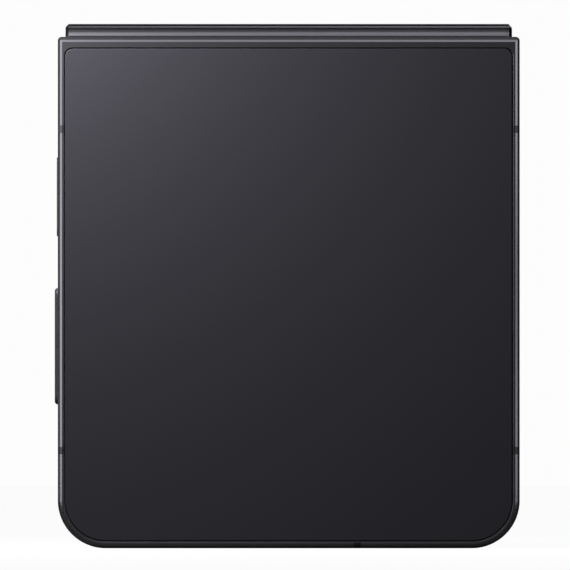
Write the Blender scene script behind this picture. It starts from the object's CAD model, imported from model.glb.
from math import cos, radians, sin

import bpy
from bpy.props import FloatProperty, FloatVectorProperty, PointerProperty
from mathutils import Matrix, Vector


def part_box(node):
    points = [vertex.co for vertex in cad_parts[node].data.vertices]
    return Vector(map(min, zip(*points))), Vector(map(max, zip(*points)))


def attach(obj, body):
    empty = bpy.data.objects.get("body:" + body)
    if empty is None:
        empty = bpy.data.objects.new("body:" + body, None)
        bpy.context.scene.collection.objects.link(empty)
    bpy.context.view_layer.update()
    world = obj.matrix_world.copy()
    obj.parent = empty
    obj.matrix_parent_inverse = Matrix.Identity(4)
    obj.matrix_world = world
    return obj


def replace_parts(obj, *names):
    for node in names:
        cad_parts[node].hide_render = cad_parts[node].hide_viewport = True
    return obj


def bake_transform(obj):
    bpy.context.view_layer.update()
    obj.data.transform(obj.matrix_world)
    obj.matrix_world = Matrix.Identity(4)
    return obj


bl_info = {
    "name": "Folding Phone",
    "version": (1, 0, 0),
    "blender": (4, 5, 0),
    "location": "3D Viewport > Sidebar > Phone",
    "description": "Dresses the CAD frame of a folding-screen phone and sets its studio",
    "category": "Object",
}

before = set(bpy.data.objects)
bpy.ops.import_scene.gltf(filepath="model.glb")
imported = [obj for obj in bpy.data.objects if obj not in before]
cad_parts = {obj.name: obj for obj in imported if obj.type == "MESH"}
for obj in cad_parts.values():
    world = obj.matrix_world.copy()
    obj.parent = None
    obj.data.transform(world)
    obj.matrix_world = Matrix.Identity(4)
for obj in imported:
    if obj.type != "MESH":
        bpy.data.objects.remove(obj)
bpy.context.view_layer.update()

# Plain values are in millimetres. X runs across the phone, Z up to the hinge, and a
# depth is a distance from the plane y = 0 between the two screens.
MM = 0.001
BASE, LID = -1, 1
HALVES = (("base", BASE), ("lid", LID))
# Two places this close are the same place
SLACK = 0.002
# Reach of a cutting tool past what it cuts, and of a piece into the one that it is joined to
BEYOND, LAP = 1, 0.1
# Flat that stays between two rounds of a narrow end, so that they don't meet
END_FLAT = 0.006
# Faces that meet at less than this many degrees are shaded as one, and on the bevelled bands at less than the second
SMOOTH_ANGLE, FACET_ANGLE = 30, 20


def span(node, axis):
    """Lowest and highest place of a CAD node along an axis."""
    low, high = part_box(node)
    return low[axis] / MM, high[axis] / MM


def depths(node):
    """Nearest and farthest depth of a CAD node of one half."""
    return tuple(sorted(abs(y) for y in span(node, 1)))


def about(centre, half):
    """Range of half a length to both sides of a centre."""
    return centre - half, centre + half


# Places that the CAD gives. The bands stand out a little more at each side than there.
BAND_EXTRA = 0.035
WIDTH = 2 * span("base_frame", 0)[1] + 2 * BAND_EXTRA
HEIGHT = span("base_frame", 2)[1]
METAL_FACE, OUTER_FACE = depths("base_frame")
GLASS_BACK = depths("back_glass")[0]
RIM_FACE, MIDPLATE_FACE = depths("base_bezel")
SCREEN_FACE, SCREEN_BACK = depths("base_screen")
SPINE_BOTTOM, SPINE_TOP = span("spine_cover", 2)
COVER_END = span("spine_cover", 0)[1]
CAP_END = span("spine_caps", 0)[1]
# Depth of what stands in the middle of a half's edge: keys, tray, port and holes
MIDDLE = (RIM_FACE + OUTER_FACE) / 2

# Outline of a half, and the soft edge of its outer bevel
FREE_CORNER, HINGE_CORNER = 7.8, 0.65
BAND_WALL = 2.3
SOFT_EDGE = 0.12
# Inside it: back of the plate under the screen, inner face of the lip over the spine, the spine's cavity, the bay
# for cells and boards, the rib across it, and the seats and notches of the hinge arms
MIDPLATE_BACK, LIP_INNER = 1.8, 5.95
CAVITY_FLOOR, CAVITY_WIDTH = 77.45, 73.1
BAY_TOP = 76.45
RIB, RIB_BACK = (18.3, 19.3), 3.4
SEAT_FOOT, SEAT_BACK = 72.55, 2.0
NOTCH_BACK, NOTCH_PLAY = 3.05, 0.15
ARM_LENGTH = 5.2
# Metal rim round the glass, the glass in it and the gap between them
RIM_WIDTH, HINGE_RIM_WIDTH = 1.03, 1.76
GLASS_CORNER, GLASS_GAP = 1.3, 0.17
# Border of the screen
BEZEL_INSET, BEZEL_WIDTH = 0.5, 1.85
# Hinge axes, and the spine about them
AXIS_Y, AXIS_Z = 1.85, 81.55
SPINE_RADIUS, SPINE_FLAT, SPINE_WALL = 3.95, 0.51, 0.6
CAP_SEAM = 0.02
# Bays between the spine's ribs, across the phone
SPINE_BAYS = (-COVER_END - BEYOND, -30.3), (-29.7, -0.3), (0.3, 29.7), (30.3, COVER_END + BEYOND)
# Antenna breaks
BREAK_HEIGHTS, EDGE_BREAK = (15.92, 68.28), 11.2
BREAK_WIDTH, BREAK_DEPTH = 1.2, 1.0
BREAK_SEAM = 0.04
# Free edge: reach of the holes through it, half sizes of the port and of a loudspeaker slot, and the microphone
THROUGH_EDGE = (-BEYOND, BAND_WALL + 0.5)
PORT_HALF = (4.52, 1.63)
SPEAKER_X, SLOT_STEP, SLOT_HALF = -15.0, 3.8, (1.3, 0.55)
MICROPHONE_X, MICROPHONE_RADIUS = 7.6, 0.4
# Outer cameras: places, rings, lenses with the radius of their glass, the flash, and the play of the holes for them
LENS_CENTRES = ((-28.0, 9.6), (-15.4, 9.6))
RING_RADIUS, RING_BORE, LENS_RADIUS, LENS_GLASS = 5.2, 4.0, 3.97, 1.9
FLASH_CENTRE, FLASH_RADIUS = (-6.5, 9.6), 1.5
HOLE_PLAY = 0.05
# Inner camera: height, hole in the sheet, front with its glass, and face of its house
SELFIE_Z, SELFIE_HOLE = 5.6, 1.9
SELFIE_RADIUS, SELFIE_DEPTH, SELFIE_GLASS, HOUSE_FACE = 1.6, 1.3, 0.75, 2.0
# Steps in an outer and in the inner lens, from the rim to the middle: width and depth of each
LENS_STEPS = (
    (0.12, 0.0), (0.02, -0.06), (0.5, 0.0), (0.06, -0.18), (0.9, -0.5), (0.04, -0.1), (0.25, 0.0),
    (0.12, 0.12), (0.25, 0.14), (0.4, 0.12), (0.5, 0.05),
)
SELFIE_STEPS = ((0.25, 0.0), (0.04, 0.08), (0.45, 0.12), (0.03, 0.05), (0.2, -0.1), (0.3, -0.06))
# Side keys: name, CAD node, height, half length, and how much more they stand out than in the CAD
KEYS = (("power_button", "power_key", 57.3, 6.65, 0.04), ("volume_rocker", "volume_key", 32.9, 9.5, 0.12))
# Of both: half width, play in the band, the wall round them, and the flange behind it
KEY_HALF, KEY_PLAY, KEY_WALL = 1.3, 0.1, 1.2
FLANGE_HALF, FLANGE_REACH = 1.75, 0.45
# Card tray: height, half length and width, thickness of its face, play in the band, shelf and the card's window
TRAY_Z, TRAY_REACH, TRAY_HALF, TRAY_WALL, TRAY_PLAY = 40.0, 10.3, 1.4, 1.0, 0.1
SHELF_HALF, SHELF_REACH, CARD_HALF = 0.5, 8.7, (6.15, 4.4)
# Gap in the rib for the main board's arm
BOARD_ARM = 11.0
# Screen's fold: how far it reaches past the flat screen, and when it is open, where about the hinge axis its crease
# starts, and how far below the axis the crease lies
FOLD_REACH, CREASE_FOOT, CREASE = 10.86, -1.0, 0.97
# Studio: distance and aim of the panels, and the camera with its view's width and centre
PANEL_REACH, PANEL_AIM = 300, 42
LENS, SENSOR, VIEW_WIDTH, VIEW_CENTRE = 1500, 36, 92.87, (-0.61, 42.9)


# ---------------------------------------------------------------- colours
def linear(hex_colour):
    """Linear colour with alpha 1 of an sRGB hex value."""
    values = [int(hex_colour[i : i + 2], 16) / 255 for i in (1, 3, 5)]
    return [v / 12.92 if v <= 0.04045 else ((v + 0.055) / 1.055) ** 2.4 for v in values] + [1.0]


def length(label, description, default):
    """A length that the user can change, stored in metres."""
    return FloatProperty(
        name=label, description=description, default=default * MM, min=0.0, unit="LENGTH", precision=5
    )


def colour(label, description, default):
    """A colour that the user can change."""
    return FloatVectorProperty(
        name=label, description=description, default=linear(default), size=4, subtype="COLOR", min=0, max=1
    )


class PhoneSizes(bpy.types.PropertyGroup):
    """Small rounds and gaps that finish the phone's edges"""

    edge_bevel: length("Band edge", "Width of the bevel round the band's outer face", 0.5)
    top_bevel: length("Band top bevel", "Width of that bevel along the hinge side", 0.64)
    edge_facet: length("Band edge facet", "Reach of the second, flatter facet inside that bevel", 0.2)
    inner_round: length("Band inner edge", "Radius of the band's edge beside the screen", 0.2)
    pane_round: length("Glass edge", "Radius of the ground edge of the glass panes", 0.16)
    cap_bevel: length("Spine end", "Width of the bevel on the spine's end caps", 0.5)
    key_bevel: length("Key edge", "Width of the bevel round the side keys", 0.3)
    bezel_round: length("Bezel edge", "Radius of the edge of the screen's border", 0.18)


class PhoneColours(bpy.types.PropertyGroup):
    """Colours of the visible finishes"""

    band: colour("Band", "Dyed anodised band", "#94929A")
    spine: colour("Spine", "Dyed anodised spine", "#94929A")
    key: colour("Keys", "Dyed anodised keys", "#3E3D43")
    plastic: colour("Antenna breaks", "Moulded filling of the band's breaks", "#58575C")
    pane: colour("Satin glass", "Film behind the etched glass", "#2A292F")
    cover: colour("Cover glass", "Film behind the polished cover glass", "#17161A")
    bezel: colour("Bezel", "Matt border of the screen", "#101012")
    screen: colour("Screen", "Switched-off screen", "#070709")


class PhoneStudio(bpy.types.PropertyGroup):
    """Lights of the studio"""

    power: FloatProperty(name="Power", description="Factor on the power of all lights", default=1.0, min=0.0)
    ambient: FloatProperty(name="Ambient", description="Strength of the room's light", default=0.004, min=0.0)


# ---------------------------------------------------------------- modelling
def deselect():
    """Takes every object out of the selection."""
    bpy.ops.object.select_all(action="DESELECT")


def activate(piece):
    """Makes a piece the only selected and active object."""
    deselect()
    piece.select_set(True)
    bpy.context.view_layer.objects.active = piece


def apply_place(piece, name):
    """Puts a new primitive's place, turn and size into its mesh."""
    activate(piece)
    bpy.ops.object.transform_apply(location=True, rotation=True, scale=True)
    piece.name = name
    piece.data.name = name
    return piece


def block(name, x, y, z):
    """Cube between three ranges, as the start of a piece."""
    low, high = Vector((min(x), min(y), min(z))), Vector((max(x), max(y), max(z)))
    deselect()
    bpy.ops.mesh.primitive_cube_add(size=1, location=(low + high) * MM / 2, scale=(high - low) * MM)
    return apply_place(bpy.context.object, name)


def across(side, near, far):
    """Range in Y between two depths of a half."""
    return side * near, side * far


TURNS = {0: (0, radians(90), 0), 1: (radians(90), 0, 0), 2: (0, 0, 0)}


def disc(name, axis, centre, radius, reach, sides=72):
    """Cylinder along an axis; reach is its range along that axis."""
    place = Vector(centre)
    place[axis] = (reach[0] + reach[1]) / 2
    deselect()
    bpy.ops.mesh.primitive_cylinder_add(
        vertices=sides,
        radius=radius * MM,
        depth=abs(reach[1] - reach[0]) * MM,
        location=place * MM,
        rotation=TURNS[axis],
    )
    return apply_place(bpy.context.object, name)


def apply_modifier(piece, kind, **settings):
    """Adds a modifier with its settings to a piece and applies it."""
    activate(piece)
    modifier = piece.modifiers.new(kind, kind)
    for name, value in settings.items():
        setattr(modifier, name, value)
    bpy.ops.object.modifier_apply(modifier=modifier.name)


def edit_all(piece, operator, **settings):
    """Runs an operator of the edit mode on the whole of a piece."""
    activate(piece)
    bpy.ops.object.mode_set(mode="EDIT")
    bpy.ops.mesh.select_all(action="SELECT")
    operator(**settings)
    bpy.ops.object.mode_set(mode="OBJECT")


def clear_choice(piece, kind):
    """Leaves nothing of a piece selected, ready to select edges or faces."""
    activate(piece)
    bpy.ops.object.mode_set(mode="EDIT")
    bpy.ops.mesh.select_mode(type=kind)
    bpy.ops.mesh.select_all(action="DESELECT")
    bpy.ops.object.mode_set(mode="OBJECT")


def choose_edges(piece, test):
    """Selects, in edit mode, the edges whose two ends pass the test, and leaves the piece in edit mode."""
    clear_choice(piece, "EDGE")
    points = [v.co / MM for v in piece.data.vertices]
    for edge in piece.data.edges:
        edge.select = bool(test(points[edge.vertices[0]], points[edge.vertices[1]]))
    bpy.ops.object.mode_set(mode="EDIT")


def choose_faces(piece, test):
    """Selects, in edit mode, the faces whose centre and normal pass the test, and leaves the piece in edit mode."""
    clear_choice(piece, "FACE")
    for face in piece.data.polygons:
        face.select = bool(test(face.center / MM, face.normal))
    bpy.ops.object.mode_set(mode="EDIT")


def step_in(steps):
    """Insets the selected faces and moves them along Y, step by step, and leaves edit mode."""
    for inset, depth in steps:
        bpy.ops.mesh.inset(thickness=inset * MM, depth=0)
        bpy.ops.transform.translate(value=(0, depth * MM, 0))
    bpy.ops.object.mode_set(mode="OBJECT")


def slice_off(piece, point, normal, **removed):
    """Cuts a piece by a plane, drops its inner or outer side as asked, and closes the cut."""
    corner = [v * MM for v in point]
    edit_all(piece, bpy.ops.mesh.bisect, plane_co=corner, plane_no=normal, use_fill=True, **removed)


def round_edges(piece, test, radius, segments):
    """Rounds the edges whose two ends pass the test."""
    choose_edges(piece, test)
    bpy.ops.mesh.bevel(offset=radius * MM, segments=segments, profile=0.5, affect="EDGES", clamp_overlap=False)
    bpy.ops.object.mode_set(mode="OBJECT")
    return piece


def along(axis):
    """Test for edges that run along an axis."""
    others = [i for i in range(3) if i != axis]
    return lambda a, b: all(abs(a[i] - b[i]) < SLACK for i in others) and abs(a[axis] - b[axis]) > SLACK


def ends(test):
    """Test for edges whose two ends pass a test for points."""
    return lambda a, b: test(a) and test(b)


def at(axis, place):
    """Test for edges that lie at one place along an axis."""
    return ends(lambda p: abs(p[axis] - place) < SLACK)


def both(*tests):
    """Test that holds where all the given tests hold."""
    return lambda a, b: all(test(a, b) for test in tests)


def combine(piece, tools, operation="DIFFERENCE"):
    """Cuts tools out of a piece, joins them to it or keeps what they share, and removes them."""
    for tool in tools:
        apply_modifier(piece, "BOOLEAN", operation=operation, solver="EXACT", object=tool)
        bpy.data.objects.remove(tool)
    return piece


def merge(pieces, name):
    """Joins pieces into one object without changing their shapes."""
    deselect()
    for piece in pieces:
        piece.select_set(True)
    bpy.context.view_layer.objects.active = pieces[0]
    bpy.ops.object.join()
    pieces[0].name = name
    return pieces[0]


def copy_piece(piece, name, matrix):
    """Copy of a piece with its own mesh, moved by a matrix in millimetres."""
    twin = piece.copy()
    twin.data = piece.data.copy()
    twin.name = name
    bpy.context.scene.collection.objects.link(twin)
    move = Matrix.Translation(matrix.to_translation() * MM) @ matrix.to_3x3().to_4x4()
    twin.data.transform(move)
    if matrix.determinant() < 0:
        twin.data.flip_normals()
    return twin


def mirrored(piece, name, axis):
    """Mirror image of a piece across a main plane, with its own mesh."""
    flip = Matrix.Identity(4)
    flip[axis][axis] = -1
    return copy_piece(piece, name, flip)


def plate(name, side, near, far, inset, top, corner, hinge_corner=0.0):
    """Plate of a half's outline, set in from its edge, with large corners at the free end."""
    piece = block(name, (inset - WIDTH / 2, WIDTH / 2 - inset), across(side, near, far), (inset, top))
    round_edges(piece, both(along(1), at(2, inset)), corner, 28)
    if hinge_corner > 0:
        round_edges(piece, both(along(1), at(2, top)), hinge_corner, 8)
    return piece


def pill(name, x, y, z, axis, segments=12):
    """Block whose narrower cross-section ends are rounded, running along an axis."""
    piece = block(name, x, y, z)
    spans = [abs(r[1] - r[0]) for i, r in enumerate((x, y, z)) if i != axis]
    return round_edges(piece, along(axis), min(spans) / 2 * 0.998, segments)


def smooth(piece, angle=SMOOTH_ANGLE):
    """Smooth shading between faces that meet at a small angle, with flat faces kept flat."""
    activate(piece)
    bpy.ops.object.shade_smooth_by_angle(angle=radians(angle))
    apply_modifier(piece, "WEIGHTED_NORMAL", keep_sharp=True)


def settle(piece, material, body, slot, *nodes, angle=SMOOTH_ANGLE):
    """Gives a finished piece its finish and its body, and lets it stand for the CAD nodes it replaces."""
    if material is not None:
        piece.data.materials.clear()
        piece.data.materials.append(material)
    smooth(piece, angle)
    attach(piece, body)
    if nodes:
        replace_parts(piece, *nodes)


def dress(material, *nodes):
    """Gives CAD nodes their finish."""
    for node in nodes:
        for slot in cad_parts[node].material_slots:
            slot.material = material


def paint_faces(piece, material, test):
    """Adds a second finish to the faces that pass the test."""
    piece.data.materials.append(material)
    index = len(piece.data.materials) - 1
    for face in piece.data.polygons:
        if test(face.center / MM, face.normal):
            face.material_index = index


# ---------------------------------------------------------------- materials
def add_node(tree, kind, inputs=None, **settings):
    """Adds a node with its settings; each input is a value or the socket that feeds it."""
    made = tree.nodes.new(kind)
    for name, value in settings.items():
        setattr(made, name, value)
    for name, value in (inputs or {}).items():
        if isinstance(value, bpy.types.NodeSocket):
            tree.links.new(value, made.inputs[name])
        else:
            made.inputs[name].default_value = value
    return made


def empty_tree(owner):
    """Node tree of a material or a room, with nothing in it."""
    owner.use_nodes = True
    owner.node_tree.nodes.clear()
    return owner.node_tree


def work_out(tree, operation, first, second):
    """Result of a sum on two values or sockets."""
    return add_node(tree, "ShaderNodeMath", {0: first, 1: second}, operation=operation).outputs[0]


def ranged(tree, value, **limits):
    """A value moved into another range."""
    inputs = {key.replace("_", " "): limit for key, limit in limits.items()}
    return add_node(tree, "ShaderNodeMapRange", {"Value": value, **inputs}).outputs["Result"]


def centred(tree, place, x, z):
    """Coordinates about an axis that runs along Y through x and z."""
    moved = add_node(tree, "ShaderNodeMapping", {"Vector": place, "Location": (-x, 0, -z), "Scale": (1, 0, 1)})
    return moved.outputs["Vector"]


def blend_colours(tree, factor, first, second):
    """Colour between two colours or sockets."""
    mix = add_node(tree, "ShaderNodeMix", {"Factor": factor, "A": first, "B": second}, data_type="RGBA")
    return mix.outputs["Result"]


def rings(tree, place, scale):
    """Rings about the middle of the coordinates, from 0 to 1."""
    inputs = {"Vector": place, "Scale": scale}
    wave = add_node(tree, "ShaderNodeTexWave", inputs, wave_type="RINGS", rings_direction="SPHERICAL")
    return wave.outputs["Fac"]


def bump(tree, pattern, height):
    """Normal of a surface that a pattern from 0 to 1 raises by a height in millimetres."""
    inputs = {"Height": pattern, "Distance": height * MM, "Strength": 1.0}
    return add_node(tree, "ShaderNodeBump", inputs).outputs["Normal"]


def finish(name, tint, roughness, grit=0.0, height=0.0, detail=2.0, stretch=None, drawn=None, **inputs):
    """Material with one Principled shader and grains of a size and height in millimetres. Its roughness is one value
    or the two between which the grains move it. What is drawn on it is a function that gives inputs of the shader."""
    material = bpy.data.materials.get(name)
    if material is not None:
        return material
    material = bpy.data.materials.new(name)
    tree = empty_tree(material)
    place = add_node(tree, "ShaderNodeTexCoord").outputs["Object"]
    place = add_node(tree, "ShaderNodeVectorMath", {0: place, 1: [1 / MM] * 3}, operation="MULTIPLY").outputs[0]
    values = {key.replace("_", " "): value for key, value in inputs.items()}
    values["Base Color"] = tint
    if drawn:
        values.update(drawn(tree, place))
    if grit:
        if stretch:
            place = add_node(tree, "ShaderNodeMapping", {"Vector": place, "Scale": stretch}).outputs["Vector"]
        noise = add_node(tree, "ShaderNodeTexNoise", {"Vector": place, "Scale": 1 / grit, "Detail": detail})
        grains = noise.outputs["Fac"]
        values["Normal"] = bump(tree, grains, height)
    if isinstance(roughness, tuple):
        roughness = ranged(tree, grains, To_Min=roughness[0], To_Max=roughness[1])
    values["Roughness"] = roughness
    shader = add_node(tree, "ShaderNodeBsdfPrincipled", values)
    add_node(tree, "ShaderNodeOutputMaterial", {"Surface": shader.outputs["BSDF"]})
    return material


def anodised(name, tint, roughness, grit=0.12):
    """Anodised aluminium, bead-blasted and dyed: a dark tinted metal with a soft, even sheen."""
    # Blasting leaves pits of about 0.05 mm, drawn coarser so that they show
    return finish(name, tint, about(roughness, 0.15 * roughness), grit, 0.0015, Metallic=1.0)


def etched_glass(tint):
    """Acid-etched toughened glass over a dyed film: a dark body under a satin, almost grainless sheen."""
    return finish("Satin etched glass", tint, (0.4, 0.46), 0.15, 0.0012, IOR=1.5, Specular_IOR_Level=0.5)


def polished_glass(tint):
    """Polished toughened glass over a dark film: a near-black mirror gloss, with the faintest unevenness."""
    return finish("Polished cover glass", tint, 0.06, 6.0, 0.003, IOR=1.5)


def ground_glass(tint):
    """Ground edge of a pane: the pane's dark body without its polish."""
    return finish("Ground glass edge", tint, 0.6, Specular_IOR_Level=0.1)


def screen_film(tint):
    """Polymer film over a switched-off organic display: black, glossy, slightly wavy."""
    return finish("Screen film", tint, 0.09, 9.0, 0.006, IOR=1.48, Coat_Weight=0.3, Coat_Roughness=0.04)


def moulded(name, tint, roughness, grit=0.35, height=0.006):
    """Injection-moulded or painted plastic: an even body colour with a fine spark-eroded grain."""
    return finish(name, tint, about(roughness, 0.12 * roughness), grit, height, IOR=1.5)


def dyed(name, tint, metallic, roughness):
    """Even dark finish that shines partly as metal: pigmented plastic, or aluminium under a thick dyed oxide."""
    return finish(name, tint, roughness, Metallic=metallic)


def machined_steel(name, tint, roughness):
    """Machined or pressed steel: a bright grey metal with fine lines along its length."""
    # Tool lines about 0.08 mm apart and 6 mm long
    lines = (0.16, 12.0, 12.0)
    return finish(name, tint, about(roughness, 0.3 * roughness), 1.0, 0.003, stretch=lines, Metallic=1.0)


def plated(name, tint, roughness):
    """Nickel or gold plating: a smooth bright metal."""
    return finish(name, tint, about(roughness, 0.2 * roughness), 0.3, 0.002, Metallic=1.0)


def pouch_foil():
    """Laminated pouch of a cell: matt black foil with soft, wide dents."""
    return finish("Pouch foil", linear("#1C1C1F"), (0.42, 0.58), 5.0, 0.12, detail=4.0, IOR=1.5)


def copper_winding():
    """Enamelled copper wire wound flat: concentric orange-brown turns with a varnish gloss."""
    low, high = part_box("charging_coil")
    centre = (low + high) / 2 / MM

    def turns(tree, place):
        moved = centred(tree, place, centre.x, centre.z)
        # Turns 0.9 mm apart, which lie between 9 and 20 mm from the middle on a bare film
        shade = blend_colours(tree, rings(tree, moved, 0.35), linear("#6A3A1E"), linear("#B87440"))
        distance = add_node(tree, "ShaderNodeVectorMath", {0: moved}, operation="LENGTH").outputs["Value"]
        outside = work_out(tree, "GREATER_THAN", distance, 20.0)
        bare = work_out(tree, "MAXIMUM", outside, work_out(tree, "LESS_THAN", distance, 9.0))
        return {"Base Color": blend_colours(tree, bare, shade, linear("#1A1A1C"))}

    return finish("Enamelled copper winding", linear("#9A5A32"), 0.35, drawn=turns, Metallic=0.8)


def solder_mask():
    """Printed circuit board: green-black solder mask over copper, so that faint tracks stand out."""

    def tracks(tree, place):
        # Track fields about 2.5 mm wide
        cells = add_node(tree, "ShaderNodeTexBrick", {
            "Vector": place, "Scale": 1.0, "Color1": linear("#12301F"), "Color2": linear("#1B4029"),
            "Mortar": linear("#0B2014"), "Mortar Size": 0.06, "Brick Width": 2.5, "Row Height": 1.1,
        })
        return {"Base Color": cells.outputs["Color"]}

    return finish("Solder mask", linear("#12301F"), 0.35, 0.6, 0.01, drawn=tracks, IOR=1.5)


def coated_lens():
    """Coated camera glass: black depth with a violet and green tint that shifts towards the rim."""

    def tinted(tree, place):
        rim = add_node(tree, "ShaderNodeLayerWeight", {"Blend": 0.35})
        return {"Base Color": blend_colours(tree, rim.outputs["Facing"], linear("#0B0716"), linear("#0A2A24"))}

    coat = {"Coat_Weight": 1.0, "Coat_Roughness": 0.02}
    return finish("Coated lens glass", linear("#050509"), 0.03, 3.0, 0.001, drawn=tinted, IOR=1.7, **coat)


def flash_diffuser():
    """Moulded acrylic diffuser over a phosphor: pale yellow with fine concentric rings."""

    def lens_rings(tree, place):
        # Rings 0.3 mm apart
        return {"Normal": bump(tree, rings(tree, centred(tree, place, *FLASH_CENTRE), 1.05), 0.03)}

    return finish("Flash diffuser", linear("#D9CFA6"), 0.25, drawn=lens_rings, IOR=1.49)


def colours():
    """The colours that the user can change."""
    return bpy.context.scene.phone_colours


def sizes():
    """The small sizes in millimetres."""
    group = bpy.context.scene.phone_sizes
    return {key: getattr(group, key) / MM for key in PhoneSizes.__annotations__}


# ---------------------------------------------------------------- the bands
def corner_tools():
    """What is cut off to round a half's two corners beside the hinge."""
    tools = []
    for sign in (-1, 1):
        centre = (sign * (WIDTH / 2 - HINGE_CORNER), 0, HEIGHT - HINGE_CORNER)
        reach = (centre[0], sign * (WIDTH / 2 + BEYOND))
        tool = block("corner", reach, about(0, OUTER_FACE + BEYOND), (centre[2], HEIGHT + BEYOND))
        tools.append(combine(tool, [disc("round", 1, centre, HINGE_CORNER, about(0, OUTER_FACE + 2 * BEYOND), 96)]))
    return tools


def half_blank(name, side):
    """A half's outer form: a slab with large free corners, a bevel with two facets, and soft edges."""
    edges = sizes()
    piece = plate(name, side, METAL_FACE, OUTER_FACE, 0, HEIGHT, FREE_CORNER)
    width, top_width = edges["edge_bevel"], edges["top_bevel"]
    round_edges(piece, at(1, side * OUTER_FACE), width, 1)
    # The bevel is wider along the hinge side
    slice_off(piece, (0, side * (OUTER_FACE - top_width), HEIGHT), (0, side, 1), clear_outer=True)
    round_edges(piece, at(1, side * OUTER_FACE), edges["edge_facet"], 1)
    round_edges(piece, at(1, side * (OUTER_FACE - width)), SOFT_EDGE, 3)
    round_edges(piece, both(at(1, side * (OUTER_FACE - top_width)), at(2, HEIGHT)), SOFT_EDGE, 3)
    round_edges(piece, at(1, side * METAL_FACE), edges["inner_round"], 5)
    return combine(piece, corner_tools())


def break_tools(side, grow=0.0):
    """Blocks where the antennas interrupt a half's band."""
    half, reach = (BREAK_WIDTH + grow) / 2, across(side, 0, OUTER_FACE + BEYOND)
    tools = []
    for z in BREAK_HEIGHTS:
        for x in (-1, 1):
            width = (x * (WIDTH / 2 + BEYOND), x * (WIDTH / 2 - BREAK_DEPTH))
            tools.append(block("break", width, reach, about(z, half)))
    tools.append(block("break", about(EDGE_BREAK, half), reach, (-BEYOND, BREAK_DEPTH)))
    return tools


def screen_tray(side):
    """Block of the recess that holds a half's screen and border."""
    return plate("tray", side, -BEYOND, MIDPLATE_FACE, BEZEL_INSET, CAVITY_FLOOR, FREE_CORNER - BEZEL_INSET)


def cheek_tool(side):
    """What is cut off beside the spine, so that the cheeks are round about their hinge axis."""
    reach = 3 * BEYOND
    tool = block("cheek", about(0, WIDTH + reach), across(side, -BEYOND, AXIS_Y), (AXIS_Z, AXIS_Z + reach))
    return combine(tool, [disc("bore", 0, (0, side * AXIS_Y, AXIS_Z), AXIS_Y - 0.05, about(0, 2 * WIDTH), 96)])


def arm_ranges(side):
    """X-ranges of a half's two hinge arms."""
    low, high = span("base_hinge_arms" if side == BASE else "lid_hinge_arms", 0)
    inner = high - ARM_LENGTH
    return (inner, high), (low, -inner)


def band(name, side):
    """Metal frame of a half with its plate, bulkhead, lip and recesses, and with polished facets."""
    piece = half_blank(name, side)
    piece.data.materials.append(anodised("Blasted anodised aluminium", colours().band, 0.33))
    cut = anodised("Diamond-cut anodised edge", colours().band, 0.21, 0.2)
    foot = OUTER_FACE - sizes()["top_bevel"] - 5 * SLACK
    paint_faces(piece, cut, lambda c, n: abs(c.y) > foot and 0.2 < abs(n.y) < 0.98)
    side_edge, top = WIDTH / 2 - RIM_WIDTH, HEIGHT - HINGE_RIM_WIDTH
    corners = FREE_CORNER - RIM_WIDTH, GLASS_CORNER + 0.1
    tools = [
        screen_tray(side),
        plate("bay", side, MIDPLATE_BACK, GLASS_BACK, BAND_WALL, BAY_TOP, FREE_CORNER - BAND_WALL),
        plate("recess", side, GLASS_BACK, OUTER_FACE + BEYOND, RIM_WIDTH, top, *corners),
        block("cavity", about(0, CAVITY_WIDTH / 2), across(side, -BEYOND, LIP_INNER), (CAVITY_FLOOR, HEIGHT + 2)),
        cheek_tool(side),
    ]
    for low, high in arm_ranges(side):
        reach = (BAY_TOP - LAP, CAVITY_FLOOR + LAP)
        tools.append(block("notch", (low - NOTCH_PLAY, high + NOTCH_PLAY), across(side, SEAT_BACK, NOTCH_BACK), reach))
    combine(piece, tools)
    on_plate = MIDPLATE_BACK - LAP
    reach = (SEAT_FOOT, BAY_TOP + LAP)
    supports = [block("seat", x, across(side, on_plate, SEAT_BACK), reach) for x in arm_ranges(side)]
    supports.append(block("rib", about(0, WIDTH / 2 - BAND_WALL), across(side, on_plate, RIB_BACK), RIB))
    combine(piece, supports, "UNION")
    beside_pane = lambda p: abs(p.x) < side_edge + SLACK and RIM_WIDTH - SLACK < p.z < top + SLACK
    round_edges(piece, both(at(1, side * OUTER_FACE), ends(beside_pane)), 0.04, 2)
    return combine(piece, break_tools(side))


def microphone_hole(side):
    """Round tool through the free edge."""
    return disc("hole", 2, (MICROPHONE_X, side * MIDDLE, 0), MICROPHONE_RADIUS, THROUGH_EDGE, 24)


def key_tools(z, reach):
    """What is cut for a side key: its pill through the wall, and the pocket of its flange behind it."""
    wall, pocket = KEY_WALL - WIDTH / 2, reach + FLANGE_REACH
    face, behind = (-WIDTH / 2 - BEYOND, wall), (wall, BAND_WALL + 0.05 - WIDTH / 2)
    return [
        pill("key", face, about(MIDDLE, KEY_HALF + KEY_PLAY), about(z, reach + KEY_PLAY), 0),
        block("pocket", behind, about(MIDDLE, FLANGE_HALF + KEY_PLAY), about(z, pocket + KEY_PLAY)),
    ]


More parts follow.
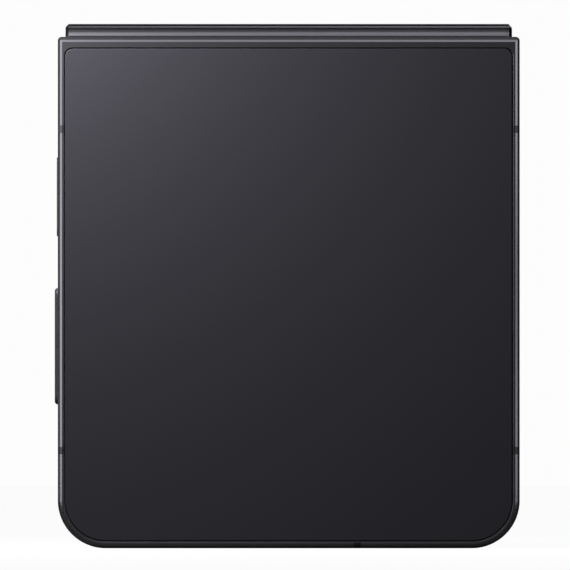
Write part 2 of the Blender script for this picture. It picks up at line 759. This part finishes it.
class PHONE_OT_bands(bpy.types.Operator):
    """Model the metal bands of both halves"""

    bl_idname = "phone.bands"
    bl_label = "Bands"

    def execute(self, context):
        base = band("base_band", BASE)
        across_port, deep = PORT_HALF
        port = pill("port", about(0, across_port), about(-MIDDLE, deep), THROUGH_EDGE, 2)
        slots = [
            pill("slot", about(x, SLOT_HALF[0]), about(-MIDDLE, SLOT_HALF[1]), THROUGH_EDGE, 2, 8)
            for x in (SPEAKER_X - SLOT_STEP, SPEAKER_X, SPEAKER_X + SLOT_STEP)
        ]
        combine(base, [port, microphone_hole(BASE)] + slots)
        by_port = lambda p: abs(p.x) < across_port + 0.08
        round_edges(base, both(at(2, 0), ends(by_port)), 0.15, 5)
        settle(base, None, "base", "band_metal", "base_frame", angle=FACET_ANGLE)

        lid = band("lid_band", LID)
        outside, wall = WIDTH / 2, WIDTH / 2 - BAND_WALL
        face, passage = (outside - TRAY_WALL - 0.05, outside + BEYOND), (wall - 0.05, outside - TRAY_WALL)
        sheet = (MIDPLATE_FACE - LAP, MIDPLATE_BACK + LAP)
        board_gap = (span("main_board", 0)[1] - BOARD_ARM, wall)
        tools = [microphone_hole(LID)]
        for _, _, z, reach, _ in KEYS:
            tools += key_tools(z, reach)
        tools += [
            pill("tray", face, about(MIDDLE, TRAY_HALF + TRAY_PLAY), about(TRAY_Z, TRAY_REACH + TRAY_PLAY), 0),
            block("passage", passage, about(MIDDLE, SHELF_HALF + TRAY_PLAY), about(TRAY_Z, SHELF_REACH + TRAY_PLAY)),
            block("window", about(0, SELFIE_HOLE), sheet, about(SELFIE_Z, SELFIE_HOLE)),
            block("gap", board_gap, (MIDPLATE_BACK, RIB_BACK + LAP), (RIB[0] - LAP, RIB[1] + LAP)),
        ]
        combine(lid, tools)
        settle(lid, None, "lid", "band_metal", "lid_frame", angle=FACET_ANGLE)
        return {"FINISHED"}


class PHONE_OT_breaks(bpy.types.Operator):
    """Model the moulded fillings of the antenna breaks"""

    bl_idname = "phone.breaks"
    bl_label = "Antenna breaks"

    def execute(self, context):
        plastic = dyed("Pigmented break filling", colours().plastic, 0.85, 0.27)
        for half, side in HALVES:
            fills = []
            for zone in break_tools(side, -BREAK_SEAM):
                fill = half_blank("fill", side)
                combine(fill, [screen_tray(side)])
                fills.append(combine(fill, [zone], "INTERSECT"))
            piece = merge(fills, half + "_break_fillings")
            settle(piece, plastic, half, "break_plastic", half + "_antenna_breaks", angle=FACET_ANGLE)
        return {"FINISHED"}


# ---------------------------------------------------------------- the glass panes
def pane(name, side, radius):
    """Glass pane of a half's outer face, with its edge ground round."""
    inset, top = RIM_WIDTH + GLASS_GAP, HEIGHT - HINGE_RIM_WIDTH - GLASS_GAP
    piece = plate(name, side, GLASS_BACK, OUTER_FACE, inset, top, FREE_CORNER - inset, GLASS_CORNER)
    return round_edges(piece, at(1, side * OUTER_FACE), radius, 4)


class PHONE_OT_panes(bpy.types.Operator):
    """Model the back glass and the cover glass"""

    bl_idname = "phone.panes"
    bl_label = "Glass panes"

    def execute(self, context):
        radius = sizes()["pane_round"]
        ground = ground_glass(colours().pane)
        is_edge = lambda c, n: abs(c.y) > OUTER_FACE - radius and abs(n.y) < 0.995
        back = pane("back_pane", BASE, radius)
        back.data.materials.append(etched_glass(colours().pane))
        paint_faces(back, ground, is_edge)
        settle(back, None, "base", "outer_glass", "back_glass")
        cover = pane("cover_pane", LID, radius)
        reach = (GLASS_BACK - BEYOND, OUTER_FACE + BEYOND)
        holes = [disc("hole", 1, (x, 0, z), RING_RADIUS + HOLE_PLAY, reach, 96) for x, z in LENS_CENTRES]
        x, z = FLASH_CENTRE
        holes.append(disc("hole", 1, (x, 0, z), FLASH_RADIUS + HOLE_PLAY, reach, 48))
        combine(cover, holes)
        settle(cover, polished_glass(colours().cover), "lid", "outer_glass", "cover_glass")
        return {"FINISHED"}


# ---------------------------------------------------------------- the spine
def spine_form(name, x, radius, bottom=SPINE_BOTTOM):
    """Length of the spine's section: a flat top between two rounds about the hinge axes, and a flat below each."""
    reach = AXIS_Y + radius
    piece = block(name, x, about(0, reach), (AXIS_Z - 0.01, AXIS_Z + radius))
    round_edges(piece, both(along(0), at(2, AXIS_Z + radius)), radius, 24)
    slice_off(piece, (0, 0, bottom), (0, 0, 1), clear_inner=True)
    flats = [
        block("flat", about(0, WIDTH), across(side, reach - SPINE_FLAT, reach + BEYOND), (bottom - BEYOND, SPINE_TOP))
        for _, side in HALVES
    ]
    return combine(piece, flats)


class PHONE_OT_spine(bpy.types.Operator):
    """Model the spine's cover and its end caps"""

    bl_idname = "phone.spine"
    bl_label = "Spine"

    def execute(self, context):
        metal = anodised("Polished anodised aluminium", colours().spine, 0.2, 0.3)
        cover = spine_form("spine_shell", (-COVER_END, COVER_END), SPINE_RADIUS)
        inner, low = SPINE_RADIUS - SPINE_WALL, SPINE_BOTTOM - 0.5
        combine(cover, [spine_form("hollow", bay, inner, low) for bay in SPINE_BAYS])
        flat = AXIS_Y + SPINE_RADIUS - SPINE_FLAT
        is_crease = lambda p: abs(abs(p.y) - flat) < SLACK and p.z > AXIS_Z + 1
        round_edges(cover, both(along(0), ends(is_crease)), 0.05, 2)
        at_end = lambda p: p.z > SPINE_BOTTOM + SLACK and abs(abs(p.x) - COVER_END) < SLACK
        is_outer = lambda p: (Vector((max(abs(p.y) - AXIS_Y, 0), p.z - AXIS_Z))).length > SPINE_RADIUS - 0.05
        round_edges(cover, both(ends(at_end), ends(is_outer)), 0.06, 2)
        settle(cover, metal, "spine", "spine_metal", "spine_cover")

        reach = (COVER_END + CAP_SEAM, CAP_END)
        cap = spine_form("cap", reach, SPINE_RADIUS)
        above = lambda a, b: max(a.z, b.z) > SPINE_BOTTOM + SLACK
        round_edges(cap, both(at(0, CAP_END), above), sizes()["cap_bevel"], 1)
        low = span("spine_caps", 2)[0]
        lobe = block("lobe", reach, about(0, 2.1), (low, SPINE_BOTTOM + LAP))
        round_edges(lobe, both(along(0), at(2, low)), 1.27, 10)
        combine(cap, [lobe], "UNION")
        piece = merge([cap, mirrored(cap, "cap", 0)], "spine_end_caps")
        settle(piece, metal, "spine", "spine_metal", "spine_caps")
        return {"FINISHED"}


# ---------------------------------------------------------------- keys and card tray
def side_key(name, node, z, reach, proud):
    """Side key: a bevelled pill with a flange behind the band, standing out by proud more than in the CAD."""
    low, high = span(node, 0)
    low -= proud
    face = block(name, (low, high - 0.5), about(MIDDLE, KEY_HALF), about(z, reach))
    round_edges(face, along(0), KEY_HALF - END_FLAT / 2, 14)
    round_edges(face, at(0, low), sizes()["key_bevel"], 1)
    flange = block("flange", (high - 0.6, high), about(MIDDLE, FLANGE_HALF), about(z, reach + FLANGE_REACH))
    return combine(face, [flange], "UNION")


class PHONE_OT_keys(bpy.types.Operator):
    """Model the side keys and the card tray"""

    bl_idname = "phone.keys"
    bl_label = "Keys and tray"

    def execute(self, context):
        metal = dyed("Hard anodised aluminium", colours().key, 0.3, 0.2)
        for name, node, z, reach, proud in KEYS:
            settle(side_key(name, node, z, reach, proud), metal, node, "key_metal", node)

        low, high = span("card_tray", 0)
        tray = block("tray_drawer", (high - TRAY_WALL, high), about(MIDDLE, TRAY_HALF), about(TRAY_Z, TRAY_REACH))
        round_edges(tray, along(0), TRAY_HALF - END_FLAT / 2, 14)
        round_edges(tray, at(0, high), 0.08, 2)
        reach = (low, high - TRAY_WALL + LAP)
        shelf = block("shelf", reach, about(MIDDLE, SHELF_HALF), about(TRAY_Z, SHELF_REACH))
        round_edges(shelf, both(along(1), at(0, low)), 1.0, 6)
        window = block("window", about(low + SHELF_REACH, CARD_HALF[0]), (0, 7), about(TRAY_Z, CARD_HALF[1]))
        round_edges(window, along(1), 0.6, 4)
        combine(tray, [combine(shelf, [window])], "UNION")
        eject = (0, MIDDLE, TRAY_Z - TRAY_REACH + TRAY_HALF)
        combine(tray, [disc("eject", 0, eject, 0.45, (high - 1.5, high + BEYOND), 32)])
        settle(tray, metal, "card_tray", "key_metal", "card_tray")
        return {"FINISHED"}


# ---------------------------------------------------------------- cameras
def within(centre, radius):
    """Test for points that lie within a circle about a camera's axis."""
    return lambda p: (Vector((p.x, p.z)) - Vector(centre)).length < radius


def on_circle(centre, radius):
    """Test for edges whose ends lie on a circle about a camera's axis."""
    near, far = within(centre, radius - 5 * SLACK), within(centre, radius + 5 * SLACK)
    return ends(lambda p: far(p) and not near(p))


class PHONE_OT_cameras(bpy.types.Operator):
    """Model the camera rings, the lenses, the flash and the inner camera"""

    bl_idname = "phone.cameras"
    bl_label = "Cameras"

    def execute(self, context):
        trims, lenses = [], []
        back, front = depths("camera_rings")
        face = depths("camera_lenses")[1]
        dark = moulded("Black lens baffle", linear("#0B0B0D"), 0.35, 0.1, 0.002)
        glass = coated_lens()
        for x, z in LENS_CENTRES:
            ring = disc("ring", 1, (x, 0, z), RING_RADIUS, (back, front), 96)
            combine(ring, [disc("bore", 1, (x, 0, z), RING_BORE, (back - BEYOND, front + BEYOND), 96)])
            round_edges(ring, both(at(1, front), on_circle((x, z), RING_RADIUS)), 0.4, 5)
            round_edges(ring, both(at(1, front), on_circle((x, z), RING_BORE)), 0.22, 3)
            trims.append(ring)
            lens = disc("lens", 1, (x, 0, z), LENS_RADIUS, (back, face), 96)
            choose_faces(lens, lambda c, n: n.y > 0.9 and c.y > face - SLACK)
            step_in(LENS_STEPS)
            lens.data.materials.append(dark)
            inside = within((x, z), LENS_GLASS)
            paint_faces(lens, glass, lambda c, n: inside(c) and c.y < face - 0.3 and n.y > 0.2)
            lenses.append(lens)
        metal = anodised("Turned anodised ring", colours().band, 0.22, 0.3)
        settle(merge(trims, "camera_trim_rings"), metal, "lid", "ring_metal", "camera_rings")
        settle(merge(lenses, "camera_lens_units"), None, "lid", "lens", "camera_lenses")

        x, z = FLASH_CENTRE
        low, top = depths("flash_lens")[0], OUTER_FACE - 0.03
        flash = disc("flash_window", 1, (x, 0, z), FLASH_RADIUS, (low, top), 64)
        round_edges(flash, at(1, top), 0.15, 3)
        settle(flash, flash_diffuser(), "lid", "flash", "flash_lens")

        low, high = span("selfie_camera", 1)
        ball = disc("inner_camera", 1, (0, 0, SELFIE_Z), SELFIE_RADIUS, (low, low + SELFIE_DEPTH), 64)
        choose_faces(ball, lambda c, n: n.y < -0.9)
        step_in(SELFIE_STEPS)
        house = block("house", about(0, 3.2), (HOUSE_FACE, high), span("selfie_camera", 2))
        round_edges(house, along(1), 0.4, 3)
        round_edges(house, at(1, high), 0.2, 2)
        neck = block("neck", about(0, 1.3), (low + SELFIE_DEPTH - LAP, HOUSE_FACE + LAP), about(SELFIE_Z, 1.3))
        piece = merge([ball, neck, house], "inner_camera")
        piece.data.materials.append(dark)
        inside = within((0, SELFIE_Z), SELFIE_GLASS)
        paint_faces(piece, glass, lambda c, n: inside(c) and c.y < low + 0.4)
        settle(piece, None, "lid", "module", "selfie_camera")
        return {"FINISHED"}


# ---------------------------------------------------------------- screen side
def ease(share):
    """Share between 0 and 1 that starts and ends softly."""
    share = max(0.0, min(1.0, share))
    return share * share * (3 - 2 * share)


def fold_sheet(name, side):
    """One half of the screen's fold. Its rest shape is worked back from the nearly flat open screen, so that it
    unrolls into it as its points turn about the hinge axis."""
    start = span("base_screen", 2)[1] - AXIS_Z
    level = (SCREEN_FACE + SCREEN_BACK) / 2 - AXIS_Y
    width = span("base_screen", 0)[1]
    deselect()
    bpy.ops.mesh.primitive_grid_add(x_subdivisions=2, y_subdivisions=40, size=1)
    piece = apply_place(bpy.context.object, name)
    for vertex in piece.data.vertices:
        share = vertex.co.y + 0.5
        open_y = start + (AXIS_Y - start) * share
        open_z = level + (-CREASE - level) * ease((open_y - CREASE_FOOT) / (AXIS_Y - CREASE_FOOT))
        # The turn at which this point lies where the blend between the bodies turns it by as much
        low, high = 40.0, 90.0
        for _ in range(40):
            turn = (low + high) / 2
            z = open_y * sin(radians(turn)) + open_z * cos(radians(turn))
            if ease((z - start) / FOLD_REACH) > 1 - turn / 90:
                high = turn
            else:
                low = turn
        y = open_y * cos(radians(turn)) - open_z * sin(radians(turn))
        vertex.co = Vector((2 * width * vertex.co.x, -side * (y - AXIS_Y), z + AXIS_Z)) * MM
    apply_modifier(piece, "SOLIDIFY", thickness=(SCREEN_BACK - SCREEN_FACE) * MM, offset=0)
    edit_all(piece, bpy.ops.mesh.normals_make_consistent, inside=False)
    piece.data.materials.append(screen_film(colours().screen))
    smooth(piece, 50)
    low, high = (0, 0, (start + AXIS_Z) * MM), (0, 0, (start + AXIS_Z + FOLD_REACH) * MM)
    if side == BASE:
        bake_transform(piece)
    else:
        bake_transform(piece)
    return piece


class PHONE_OT_screen(bpy.types.Operator):
    """Model the screen's fold, its border and the pads on it"""

    bl_idname = "phone.screen"
    bl_label = "Screen and border"

    def execute(self, context):
        dress(screen_film(colours().screen), "base_screen", "lid_screen", "cover_screen")
        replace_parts(fold_sheet("screen_fold_base", BASE), "screen_fold")
        fold_sheet("screen_fold_lid", LID)
        matt = moulded("Matt border plastic", colours().bezel, 0.5, 0.25, 0.004)
        rubber = moulded("Black silicone rubber", linear("#141415"), 0.7, 0.2, 0.004)
        for half, side in HALVES:
            edge = BEZEL_INSET + 0.05
            outer = plate(half + "_border", side, RIM_FACE, MIDPLATE_FACE, edge, CAVITY_FLOOR, FREE_CORNER - edge)
            edge, back = BEZEL_INSET + BEZEL_WIDTH, MIDPLATE_FACE + BEYOND
            inner = plate("inner", side, -BEYOND, back, edge, CAVITY_FLOOR + BEYOND, FREE_CORNER - edge)
            combine(outer, [inner])
            round_edges(outer, at(1, side * RIM_FACE), sizes()["bezel_round"], 4)
            if side == LID:
                slit = about(BEZEL_INSET + BEZEL_WIDTH / 2, 0.25)
                combine(outer, [pill("slit", about(0, 6), (-BEYOND, back), slit, 1, 6)])
            settle(outer, matt, half, "bezel_plastic", half + "_bezel")
            low = depths(half + "_bumpers")[0]
            x = WIDTH / 2 - BEZEL_INSET - BEZEL_WIDTH / 2
            pads = []
            for z in (FREE_CORNER + 4, CAVITY_FLOOR - 4):
                for sign in (-1, 1):
                    pad = pill("pad", about(sign * x, 0.45), across(side, low, RIM_FACE), about(z, 2), 1, 8)
                    pads.append(round_edges(pad, at(1, side * low), 0.14, 3))
            settle(merge(pads, half + "_pads"), rubber, half, "pad_rubber", half + "_bumpers")
        return {"FINISHED"}


# ---------------------------------------------------------------- free edge and insides
class PHONE_OT_port(bpy.types.Operator):
    """Dress the charging port and model its contacts and the loudspeaker's mesh"""

    bl_idname = "phone.port"
    bl_label = "Charging port"

    def execute(self, context):
        dress(machined_steel("Drawn steel shell", linear("#8C8C8F"), 0.28), "port_shell")
        dress(moulded("Black nylon", linear("#131315"), 0.4, 0.3, 0.003), "port_tongue")
        low, high = span("port_tongue", 2)
        faces = span("port_tongue", 1)
        strips = []
        for n in range(12):
            x = (n - 5.5) * 0.5
            for y, out in ((faces[0], -1), (faces[1], 1)):
                proud = y + 0.03 * out
                strip = block("contact", about(x, 0.14), (y - 0.02 * out, proud), (low + 0.5, high - 1.2))
                strips.append(round_edges(strip, at(1, proud), 0.02, 1))
        gold = plated("Gold plating", linear("#C9A24E"), 0.22)
        settle(merge(strips, "port_contacts"), gold, "base", "steel")

        weave = plated("Blackened steel mesh", linear("#2A2A2C"), 0.45)
        sheet = block("speaker_mesh", about(SPEAKER_X, 6), about(-MIDDLE, 0.9), (BAND_WALL, BAND_WALL + 0.04))
        round_edges(sheet, along(2), 0.3, 3)
        settle(sheet, weave, "base", "steel")
        return {"FINISHED"}


class PHONE_OT_insides(bpy.types.Operator):
    """Give the hinge and the parts inside their finishes"""

    bl_idname = "phone.insides"
    bl_label = "Hinge and insides"

    def execute(self, context):
        halves = ("base", "lid")
        hinge = [half + "_hinge_arms" for half in halves] + ["hinge_brackets"]
        sheets = [half + "_screen_plate" for half in halves] + ["shield_cans", "tray_cage"]
        pinions = [f"{hand}_{half}_pinion" for hand in ("left", "right") for half in halves]
        dress(machined_steel("Sintered hinge steel", linear("#85858A"), 0.34), *hinge)
        dress(machined_steel("Stamped stainless steel", linear("#A2A2A6"), 0.26), *sheets)
        dress(machined_steel("Cut gear steel", linear("#94949A"), 0.24), *pinions)
        dress(machined_steel("Deep-drawn motor can", linear("#9A9A9C"), 0.3), "haptic_motor")
        dress(plated("Nickel plating", linear("#B9B7B2"), 0.2), "base_magnets", "lid_magnets")
        dress(pouch_foil(), "base_battery", "lid_battery")
        dress(copper_winding(), "charging_coil")
        dress(solder_mask(), "main_board", "charging_board")
        modules = ("loudspeaker", "base_microphone", "camera_modules", "earpiece", "key_switches")
        dress(moulded("Black moulded module", linear("#1A1A1C"), 0.45), *modules)
        return {"FINISHED"}


# ---------------------------------------------------------------- stage
def panel_light(name, place, aim, size, power):
    """Rectangular soft light that the camera doesn't see."""
    data = bpy.data.lights.new(name, "AREA")
    data.shape = "RECTANGLE"
    data.size, data.size_y = size[0] * MM, size[1] * MM
    data.energy = power
    lamp = bpy.data.objects.new(name, data)
    bpy.context.scene.collection.objects.link(lamp)
    lamp.location = Vector(place) * MM
    lamp.rotation_euler = (Vector(aim) - Vector(place)).to_track_quat("-Z", "Y").to_euler()
    lamp.visible_camera = False


def seen_rays(tree, mirrored_part):
    """1 for rays from the camera or through a surface, and for mirrored rays the part of the set that they meet."""
    path = add_node(tree, "ShaderNodeLightPath").outputs
    direct = work_out(tree, "MAXIMUM", path["Is Camera Ray"], path["Is Transmission Ray"])
    return work_out(tree, "MAXIMUM", direct, work_out(tree, "MULTIPLY", path["Is Glossy Ray"], mirrored_part))


def place_along_y(tree, coordinates):
    """How far a point lies along Y, in a kind of texture coordinates."""
    place = add_node(tree, "ShaderNodeTexCoord").outputs[coordinates]
    return add_node(tree, "ShaderNodeSeparateXYZ", {0: place}).outputs["Y"]


def build_room(scene, ambient):
    """A white backdrop behind the phone, which the camera and mirrored rays see, in a dark room."""
    scene.world = bpy.data.worlds.new("Room")
    tree = empty_tree(scene.world)
    seen = seen_rays(tree, ranged(tree, place_along_y(tree, "Generated"), From_Min=0.93, From_Max=1.0))
    strength = ranged(tree, seen, To_Min=ambient, To_Max=0.98)
    light = add_node(tree, "ShaderNodeBackground", {"Color": (1, 1, 1, 1), "Strength": strength})
    add_node(tree, "ShaderNodeOutputWorld", {"Surface": light.outputs[0]})


def build_floor():
    """Round table of white paper, which is seen white and takes the shadow, but throws little light back."""
    deselect()
    bpy.ops.mesh.primitive_circle_add(vertices=64, radius=1.2, fill_type="NGON")
    floor = apply_place(bpy.context.object, "floor")
    white = bpy.data.materials.new("White paper")
    tree = empty_tree(white)
    seen = seen_rays(tree, ranged(tree, place_along_y(tree, "Object"), From_Min=0.1, From_Max=0.5))
    paper = add_node(tree, "ShaderNodeBsdfDiffuse", {"Color": ranged(tree, seen, To_Min=0.03, To_Max=0.85)})
    glow = add_node(tree, "ShaderNodeEmission", {"Color": (1, 1, 1, 1), "Strength": 1.0})
    share = work_out(tree, "MULTIPLY", seen, 0.96)
    mixed = add_node(tree, "ShaderNodeMixShader", {0: share, 1: paper.outputs[0], 2: glow.outputs[0]})
    add_node(tree, "ShaderNodeOutputMaterial", {"Surface": mixed.outputs[0]})
    floor.data.materials.append(white)


class PHONE_OT_stage(bpy.types.Operator):
    """Set the floor, the room, the lights and the camera"""

    bl_idname = "phone.stage"
    bl_label = "Studio"

    def execute(self, context):
        scene = context.scene
        studio = scene.phone_studio
        scene.view_settings.view_transform = "Standard"

        build_room(scene, studio.ambient)
        build_floor()

        power = studio.power
        panel_light("Near light", (-78, -42, 136), (0, -6, 40), (24, 24), 0.46 * power)
        # Upright panels round the phone: bearing from the front, height, size and watts
        for name, bearing, z, size, watts in (
            ("Left panel", -45, 42, (90, 240), 0.102),
            ("Far left panel", -90, 42, (100, 240), 0.013),
            ("Right upper panel", 45, 115, (90, 120), 0.041),
            ("Right lower panel", 45, -15, (90, 100), 0.027),
            ("Far right panel", 90, 42, (100, 240), 0.003),
            ("Back panel", 155, 110, (160, 160), 0.05),
        ):
            turn = radians(bearing)
            place = (PANEL_REACH * sin(turn), -PANEL_REACH * cos(turn), z)
            panel_light(name, place, (0, 0, z), size, watts * power)
        # Panels over the phone from front to back: angle above the level, place across, size and watts
        for name, height, x, size, watts in (
            ("Front panel", 45, 0, (260, 80), 0.05),
            ("Top front panel", 61, 0, (260, 70), 0.026),
            ("Top left panel", 66, -90, (140, 110), 0.014),
            ("Top panel", 75, 0, (260, 70), 0.035),
            ("Overhead panel", 90, 0, (260, 80), 0.008),
            ("Rear panel", 117, 0, (260, 50), 0.022),
            ("Rear left panel", 117, -90, (140, 50), 0.024),
        ):
            rise = radians(height)
            place = (x, -PANEL_REACH * cos(rise), PANEL_AIM + PANEL_REACH * sin(rise))
            panel_light(name, place, (x, 0, PANEL_AIM), size, watts * power)

        camera = bpy.data.objects.new("Camera", bpy.data.cameras.new("Camera"))
        scene.collection.objects.link(camera)
        camera.data.lens, camera.data.sensor_width = LENS, SENSOR
        x, z = VIEW_CENTRE
        camera.location = Vector((x, -OUTER_FACE - VIEW_WIDTH * LENS / SENSOR, z)) * MM
        camera.rotation_euler = (radians(90), 0, 0)
        camera.data.clip_start, camera.data.clip_end = 0.1, 20
        scene.camera = camera
        return {"FINISHED"}


PIECES = (
    PHONE_OT_bands,
    PHONE_OT_breaks,
    PHONE_OT_panes,
    PHONE_OT_spine,
    PHONE_OT_keys,
    PHONE_OT_cameras,
    PHONE_OT_screen,
    PHONE_OT_port,
    PHONE_OT_insides,
    PHONE_OT_stage,
)


class PHONE_PT_panel(bpy.types.Panel):
    """Sizes, colours and pieces of the phone"""

    bl_idname = "PHONE_PT_panel"
    bl_label = "Folding phone"
    bl_space_type = "VIEW_3D"
    bl_region_type = "UI"
    bl_category = "Phone"

    def draw(self, context):
        scene = context.scene
        for group in (scene.phone_sizes, scene.phone_colours, scene.phone_studio):
            box = self.layout.box()
            for key in type(group).__annotations__:
                box.prop(group, key)
        for operator in PIECES:
            self.layout.operator(operator.bl_idname)


CLASSES = (PhoneSizes, PhoneColours, PhoneStudio) + PIECES + (PHONE_PT_panel,)


def register():
    for cls in CLASSES:
        bpy.utils.register_class(cls)
    bpy.types.Scene.phone_sizes = PointerProperty(type=PhoneSizes)
    bpy.types.Scene.phone_colours = PointerProperty(type=PhoneColours)
    bpy.types.Scene.phone_studio = PointerProperty(type=PhoneStudio)


def unregister():
    del bpy.types.Scene.phone_studio
    del bpy.types.Scene.phone_colours
    del bpy.types.Scene.phone_sizes
    for cls in reversed(CLASSES):
        bpy.utils.unregister_class(cls)


def main():
    register()
    bpy.ops.phone.bands()
    bpy.ops.phone.breaks()
    bpy.ops.phone.panes()
    bpy.ops.phone.spine()
    bpy.ops.phone.keys()
    bpy.ops.phone.cameras()
    bpy.ops.phone.screen()
    bpy.ops.phone.port()
    bpy.ops.phone.insides()
    bpy.ops.phone.stage()


if __name__ == "__main__":
    main()
